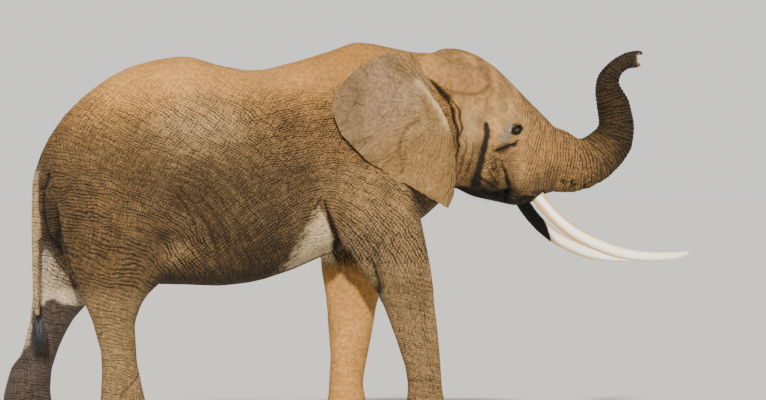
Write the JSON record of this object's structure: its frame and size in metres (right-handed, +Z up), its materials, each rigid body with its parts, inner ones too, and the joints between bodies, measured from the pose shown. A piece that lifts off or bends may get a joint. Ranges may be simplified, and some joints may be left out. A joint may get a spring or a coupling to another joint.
{
  "type": "life-size elephant",
  "caption": "African bush elephant standing in mid-step with its trunk curled up before its forehead, long curved tusks and wide ears laid back, as a still life-size figure.",
  "frame": {"origin": "centre of the bounding box at floor level, between the soles", "axes": "+X forwards, the way the animal walks; +Y to its left; +Z up"},
  "size_m": [5.6476, 1.5932, 3.1931],
  "materials": {
    "hide": "matte wrinkled hide",
    "eye": "wet gloss",
    "ivory": "smooth satin, browner at the root",
    "nail": "dull horn",
    "hair": "coarse stiff hair"
  },
  "bodies": {
    "root": {"barrel": "hide", "chest": "hide", "ear_left": "hide", "ear_right": "hide", "eye_left": "eye", "eye_right": "eye", "forefoot_left": "hide", "forefoot_right": "hide", "foreleg_lower_left": "hide", "foreleg_lower_right": "hide", "foreleg_upper_left": "hide", "foreleg_upper_right": "hide", "head": "hide", "hindfoot_left": "hide", "hindfoot_right": "hide", "hindleg_lower_left": "hide", "hindleg_lower_right": "hide", "hindleg_upper_left": "hide", "hindleg_upper_right": "hide", "lower_jaw": "hide", "nail_fore_left_1": "nail", "nail_fore_left_2": "nail", "nail_fore_left_3": "nail", "nail_fore_left_4": "nail", "nail_fore_right_1": "nail", "nail_fore_right_2": "nail", "nail_fore_right_3": "nail", "nail_fore_right_4": "nail", "nail_hind_left_1": "nail", "nail_hind_left_2": "nail", "nail_hind_left_3": "nail", "nail_hind_right_1": "nail", "nail_hind_right_2": "nail", "nail_hind_right_3": "nail", "neck": "hide", "rump": "hide", "tail_base": "hide", "tail_tassel": "hair", "trunk_base": "hide", "trunk_bend": "hide", "trunk_tip": "hide", "trunk_upper": "hide", "tusk_left": "ivory", "tusk_right": "ivory"}
  },
  "joints": []
}
